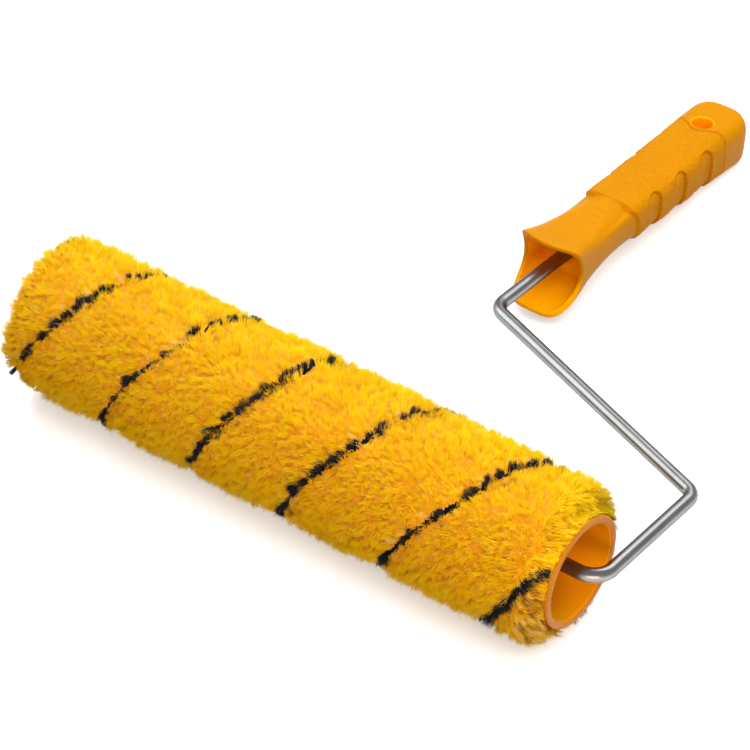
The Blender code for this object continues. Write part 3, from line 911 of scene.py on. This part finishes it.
class Pile:
    """The strands of the whole sleeve, worked out once and then made into pieces."""

    steps = (0.0, 0.42, 0.78, 1.0)
    taper = np.array((1.0, 0.95, 0.62, 0.0))

    def __init__(self):
        self.rng = np.random.default_rng(SEED)
        self.outline = Outline()
        self.lumps = Waves(self.rng, 20 * MM)
        self.bumps = Waves(self.rng, 7 * MM, 60)
        self.lean_x = Waves(self.rng, 13 * MM)
        self.lean_a = Waves(self.rng, 13 * MM)
        self.place_tufts()
        self.place_strands()

    def tuft_kinds(self, x, angle, stripe, first_dark):
        """Each tuft's yarn: cream strays beside the stripes, and brown tufts of painted shade past them
        and under the rim.
        """
        count = len(x)
        kind = np.where(np.arange(count) < first_dark, YELLOW, DARK)
        beside = (kind == YELLOW) & (np.abs(stripe) < 0.9 * STRIPE_WIDTH)
        kind[beside & (self.rng.uniform(size=count) < CREAM_SHARE)] = CREAM
        around = np.cos(angle + TILT - SHADED_SIDE_ANGLE)
        # painted shade: brown tufts under the rim's lower side and just past each stripe
        rim_shadow = smoothstep(0.72, 0.95, around) * smoothstep(-15 * MM, -5 * MM, x - CORE_NEAR_X)
        shade_brown = 0.10 * (np.abs(stripe - 3.0 * MM) < 3.0 * MM) + 0.55 * rim_shadow
        kind[(kind == YELLOW) & (self.rng.uniform(size=count) < shade_brown)] = SHADE_BROWN
        return kind

    def place_tufts(self):
        """Where the tufts stand, how tall they are and which way they lean."""
        rng, outline = self.rng, self.outline
        travelled, angle = tuft_places(rng, outline)
        clear = np.abs(stripe_distance(outline.place(travelled)[0], angle)) > 0.28 * STRIPE_WIDTH
        yarn_travelled, yarn_angle = stripe_tufts(rng, outline)
        travelled = np.concatenate([travelled[clear], yarn_travelled])
        angle = np.concatenate([angle[clear], yarn_angle])
        x = outline.place(travelled)[0]
        stripe = stripe_distance(x, angle)
        kind = self.tuft_kinds(x, angle, stripe, clear.sum())
        dark, count = kind == DARK, len(kind)

        swell = 0.4 * MM * np.cos(math.tau * stripe / STRIPE_STEP)
        bumps = self.bumps(x, angle)
        height = rng.normal(0, 0.45 * MM, count) + 0.5 * MM * self.lumps(x, angle)
        height += BUMP_HEIGHT * bumps
        height += -VALLEY_DEPTH * bell(stripe, 4.2 * MM) - swell
        proud = np.where(dark, rng.uniform(0.5, 2.2, count) * MM, 0)
        self.height = np.clip(height, -3.0 * MM, 1.6 * MM) + proud

        to_end = outline.length - travelled
        ends = smoothstep(0, 10 * MM, np.minimum(travelled, to_end))
        size = (0.5 + 0.5 * ends) * MM
        combed = 1 - smoothstep(0, COMBED_LENGTH, to_end)
        parting = 1.2 * MM * bell(np.abs(stripe) - 2.4 * MM, 2.2 * MM)
        self.lean_along = size * (rng.normal(0, 0.65, count) + 0.45 * self.lean_x(x, angle))
        self.lean_along += np.where(dark, 0, np.sign(stripe) * parting)
        self.lean_along += 2.2 * MM * combed
        self.lean_along -= 1.8 * MM * bell(travelled - 12 * MM, 7 * MM)
        self.lean_round = size * (rng.normal(0, 0.65, count) + 0.45 * self.lean_a(x, angle))
        self.lean_round -= 1.6 * MM * combed

        self.gather = np.where(dark, rng.uniform(0.0, 0.5, count), rng.uniform(0.12, 0.52, count))
        broad = 1 + 0.9 * smoothstep(-45 * MM, -10 * MM, x - CORE_NEAR_X) + 0.25 * self.lumps(x, angle)
        broad = broad * rng.uniform(0.7, 1.3, count)
        self.reach = np.where(dark, STRIPE_REACH * broad, TUFT_REACH)
        # painted shade: tufts just past each stripe and in the low places between bumps lean towards the
        # shade colour; the rest is random tone
        stripe_shadow = bell(stripe - 3.2 * MM, 3.0 * MM)
        self.shade_mix = rng.normal(0.09, 0.11, count) + np.clip(-0.16 * bumps, -0.12, 0.4) + 0.38 * stripe_shadow
        self.travelled, self.angle, self.kind = travelled, angle, kind

    def place_strands(self):
        """The points of every strand, from its root to its tip."""
        rng, outline = self.rng, self.outline
        strands = np.where(self.kind == DARK, STRANDS_PER_DARK_TUFT, STRANDS_PER_TUFT)
        tuft = np.repeat(np.arange(len(self.travelled)), strands)
        count = len(tuft)
        reach = self.reach[tuft] * np.sqrt(rng.uniform(size=count))
        turn = rng.uniform(0, math.tau, count)
        off_along, off_round = reach * np.cos(turn), reach * np.sin(turn)
        wild = rng.uniform(size=count) < WILD_SHARE
        height = self.height[tuft] + rng.normal(0, 0.38 * MM, count)
        height += wild * rng.uniform(0, 2.3 * MM, count)
        jitter = np.where(wild, 1.3 * MM, 0.45 * MM)
        lean_along = self.lean_along[tuft] + rng.normal(0, 1, count) * jitter
        lean_round = self.lean_round[tuft] + rng.normal(0, 1, count) * jitter
        centres = np.empty((count, len(self.steps), 3))
        for ring, t in enumerate(self.steps):
            loose = 1 - self.gather[tuft] * t
            along = self.travelled[tuft] + off_along * loose + lean_along * t**1.8
            along = np.clip(along, 0, outline.length)
            x, radius = outline.place(along)
            nx, nr = outline.normal(along)
            below = PILE_DEPTH * (1 - t) ** 1.6 - height * t
            x, radius = x - nx * below, np.maximum(radius - nr * below, LOWEST_R)
            across = off_round * loose + lean_round * t**1.8
            centres[:, ring] = round_axis(x, radius, self.angle[tuft] + across / radius)
        self.centres = centres
        nx, nr = outline.normal(self.travelled[tuft])
        outward = radial(nx * END_LIGHT, nr, self.angle[tuft])
        outward += (centres[:, -1] - centres[:, 1]) / PILE_DEPTH * 0.5
        outward[:, 0] *= ENDWAYS_LIGHT
        self.outward = unit(outward)
        thick = np.where(wild, 0.13, 0.21) * rng.uniform(0.75, 1.2, count) * MM
        self.widths = thick[:, None] * self.taper
        self.shade_mixes = np.clip(self.shade_mix[tuft] + rng.normal(0, 0.11, count), 0, 0.7)
        self.strand_kind = self.kind[tuft]
        # painted rim light: a share of the stray yellow fibres take the pale cream yarn, for the light
        # along the pile's edges
        rim_lit_strays = wild & (self.strand_kind == YELLOW) & (rng.uniform(size=count) < 0.3)
        self.strand_kind[rim_lit_strays] = CREAM
        self.order = np.argsort(self.travelled[tuft], kind="stable")

    def pieces(self, name, kind, materials):
        picked = self.order[self.strand_kind[self.order] == kind]
        groups = max(1, math.ceil(len(picked) / STRANDS_PER_PIECE))
        made = []
        for number, part in enumerate(np.array_split(picked, groups)):
            label = f"{name}_{number + 1:02d}"
            shape = (self.centres[part], self.widths[part], self.shade_mixes[part], self.outward[part])
            made.append(strand_mesh(label, *shape, materials))
        return made


def frayed_edge(outline, materials):
    """Loose fibres that escape where the fabric was cut, at the sleeve's near end."""
    rng = np.random.default_rng(SEED + 2)
    roots, turns, lengths, drops = [], [], [], []
    for centre, spread, count, length in FRAYS:
        locks = rng.normal(math.radians(centre), math.radians(spread), max(6, count // 10))
        lock = rng.integers(0, len(locks), count)
        turns.append(locks[lock] + rng.normal(0, 0.04, count) - TILT)
        starts = rng.uniform(1.5 * MM, 13 * MM, len(locks))
        roots.append(outline.length - starts[lock] - rng.uniform(0, 1.2 * MM, count))
        reach = rng.uniform(0.45, 1.0, len(locks))
        lengths.append(length * reach[lock] * rng.uniform(0.75, 1.1, count))
        drops.append(rng.uniform(-0.6, 0.9, len(locks))[lock] + rng.normal(0, 0.15, count))
    root, turn, length, drop = (np.concatenate(v) for v in (roots, turns, lengths, drops))
    steps, taper = (0.0, 0.35, 0.7, 1.0), np.array((1.0, 0.9, 0.6, 0.0))
    x0, r0 = outline.place(root)
    nx, nr = outline.normal(root)
    centres = np.empty((len(root), len(steps), 3))
    for ring, t in enumerate(steps):
        out = length * (0.75 * t - 0.30 * t**2) - 1.2 * MM * (1 - t)
        along = length * 0.55 * t**1.5
        x = x0 + nx * out + nr * along
        radius = np.maximum(r0 + nr * out - nx * along, LOWEST_R)
        centres[:, ring] = round_axis(x, radius, turn + drop * length * t**2 / r0)
    widths = rng.uniform(0.10, 0.19, len(root))[:, None] * taper * MM
    shade_mixes = np.clip(rng.normal(0.25, 0.2, len(root)), 0, 0.8)
    return strand_mesh("pile_frayed_edge", centres, widths, shade_mixes, radial(nx, nr, turn), materials)


def pile_mat(outline, material, dark):
    """The dense lower pile, as a closed body under the strands, dark along the helices."""
    rows, columns = 300, 240
    travelled = np.linspace(0, outline.length, rows)
    x, radius = outline.place(travelled)
    nx, nr = (value[:, None] for value in outline.normal(travelled))
    angle = math.tau * np.arange(columns) / columns
    grid_x, grid_a = np.meshgrid(x, angle, indexing="ij")
    rough = 0.35 * MM * Waves(np.random.default_rng(SEED + 1), 3.0 * MM, 60)(grid_x, grid_a)
    sunk = 3.6 * MM - rough + 1.0 * MM * bell(stripe_distance(grid_x, grid_a), 3.4 * MM)
    ends = smoothstep(0, 5 * MM, np.minimum(travelled, outline.length - travelled))[:, None]
    sunk = sunk * (0.35 + 0.65 * ends)
    px = grid_x - nx * sunk
    pr = np.maximum(radius[:, None] - nr * sunk, CORE_R + 0.35 * MM)
    inner_x = np.repeat([[px[-1].mean()], [px[0].mean()]], columns, axis=1)
    inner = round_axis(inner_x, CORE_R + 0.3 * MM, np.repeat(angle[None], 2, axis=0))
    rings = np.concatenate([round_axis(px, pr, grid_a), inner])
    faces = grid_faces(len(rings), columns, closed=True)
    thing = mesh_object("pile_mat", rings.reshape(-1, 3), faces, material)
    thing.data.materials.append(dark)
    near_stripe = np.abs(stripe_distance(px, grid_a)) < 0.45 * STRIPE_WIDTH
    index = np.zeros(len(faces), dtype=np.int32)
    index[: (rows - 1) * columns] = near_stripe[:-1].ravel()
    thing.data.polygons.foreach_set("material_index", index)
    fix_normals(thing.data)
    return thing


# ---- stage


LENS = 150.49  # on a sensor 36 mm wide
CAMERA_PLACE = Vector((CORE_NEAR_X + 0.45184, -0.80556, 0.76858))
CAMERA_RIGHT = Vector((0.8019, 0.5954, 0.0497))
CAMERA_UP = Vector((-0.3871, 0.4544, 0.8023))
CAMERA_BACK = Vector((0.4551, -0.6626, 0.5949))
WHITE = (1.0, 1.0, 1.0)
WARM = (1.0, 0.68, 0.40)
LIGHTS = (  # name, place, target, size, watts, colour, and the rays that don't see it
    ("key", (-0.35, 0.42, 1.22), (0, 0, 0.03), (1.6, 1.4), 18.5, WHITE, "glossy"),
    ("side", (0.60, -0.45, 1.30), (0, 0, 0.02), (1.4, 1.1), 17.0, WHITE, "glossy"),
    ("fill", (0.85, -1.05, 0.25), (0, 0, 0.03), (0.9, 0.5), 8.0, WARM, None),
    # cards that show only in the gloss of the steel and the plastic
    ("shine_left", (-0.83, -0.22, 0.60), (0.07, -0.03, 0.025), (0.8, 0.75), 6.0, WHITE, "diffuse"),
    ("shine_back", (-0.09, 0.68, 0.93), (0.136, -0.1, 0.03), (0.8, 0.6), 5.0, WHITE, "diffuse"),
)
WORLD_STRENGTH = 0.44
FLOOR_HALF = 12.0


def camera():
    """A long lens that looks down over the near end of the sleeve."""
    data = bpy.data.cameras.new("camera")
    data.lens = LENS
    data.sensor_width = 36.0
    data.clip_start = 0.05
    thing = link(bpy.data.objects.new("camera", data))
    turn = Matrix((CAMERA_RIGHT, CAMERA_UP, CAMERA_BACK)).transposed().to_4x4()
    thing.matrix_world = PLANE @ Matrix.Translation(CAMERA_PLACE) @ turn
    bpy.context.scene.camera = thing


def area_light(name, place, target, size, power, colour, unseen_by):
    data = bpy.data.lights.new(name, "AREA")
    data.shape = "RECTANGLE"
    data.size, data.size_y = size
    data.energy = power
    data.color = colour
    thing = link(bpy.data.objects.new(name, data))
    thing.location = place
    thing.rotation_euler = (Vector(target) - Vector(place)).to_track_quat("-Z", "Y").to_euler()
    if unseen_by:
        setattr(thing, f"visible_{unseen_by}", False)


def stage():
    bm = bmesh.new()
    bmesh.ops.create_grid(bm, x_segments=8, y_segments=8, size=FLOOR_HALF)
    mesh = bpy.data.meshes.new("floor")
    bm.to_mesh(mesh)
    bm.free()
    mesh.materials.append(floor_paint())
    floor = link(bpy.data.objects.new("floor", mesh))
    floor.visible_diffuse = False  # so that the floor throws no light up under the object
    for light in LIGHTS:
        area_light(*light)
    world = bpy.data.worlds.new("world")
    world.use_nodes = True
    background = world.node_tree.nodes["Background"]
    background.inputs["Color"].default_value = (*WHITE, 1)
    background.inputs["Strength"].default_value = WORLD_STRENGTH
    bpy.context.scene.world = world
    bpy.context.scene.view_settings.view_transform = "Standard"


# ---- the object


YARNS = {  # colours at a fibre's root, which paints the shade deep in the pile, at its tip and in painted shade, and its plain colour
    "yellow": ((0.92, 0.41, 0.002), (0.975, 0.700, 0.008), (0.88, 0.355, 0.004), (0.93, 0.50, 0.01)),
    "cream": ((0.90, 0.46, 0.02), (0.97, 0.74, 0.20), (0.75, 0.40, 0.05), (0.95, 0.72, 0.22)),
    "shade_brown": ((0.16, 0.06, 0.008), (0.55, 0.27, 0.03), (0.30, 0.13, 0.02), (0.42, 0.20, 0.02)),
    "dark": ((0.006, 0.007, 0.010), (0.018, 0.020, 0.027), (0.04, 0.036, 0.034), (0.014, 0.016, 0.026)),
}


def yarn(colour):
    """The patterned material of one yarn, and the plain one."""
    *shades, plain = YARNS[colour]
    patterned = fibre(f"pile_{colour}_look", *shades)
    return patterned, Nodes(f"pile_{colour}_plain", Base_Color=(*plain, 1), Roughness=0.65).material


def dress(slot, material, *nodes):
    """Gives CAD nodes that stay in view their finish."""
    for node in nodes:
        thing = frame["nodes"][node]
        thing.data.materials.clear()
        thing.data.materials.append(material)


def build():
    core_look, plug_look = core_plastic(), plug_plastic()
    yellow, cream, shade_brown, dark = (yarn(colour) for colour in ("yellow", "cream", "shade_brown", "dark"))
    add_piece(core_shell(core_look), "sleeve", "core_plastic", "core_tube")
    add_piece(rod(plated_steel()), "frame", "plated_steel", "wire_frame")
    add_piece(handle_shell(handle_plastic()), "frame", "handle_plastic", "handle")
    pile = Pile()
    pieces = [pile_mat(pile.outline, backing_fabric(), dark[0])]
    pieces += pile.pieces("pile_tufts", YELLOW, yellow)
    pieces += pile.pieces("pile_stripes", DARK, dark)
    pieces += pile.pieces("pile_loose_fibres", CREAM, cream)
    pieces += pile.pieces("pile_shaded_tufts", SHADE_BROWN, shade_brown)
    pieces.append(frayed_edge(pile.outline, cream))
    for piece in pieces:
        add_piece(piece, "sleeve", "pile_fabric", "pile_sleeve")

    dress("core_plastic", core_look, "far_end_cap")
    plugs = ("near_bearing_plug", "far_bearing_plug")
    dress("plug_plastic", plug_look, *plugs, "near_thrust_washer", "far_thrust_washer")
    dress("spring_steel", spring_steel(), "near_stop_ring", "far_retaining_ring")


camera()
stage()
build()
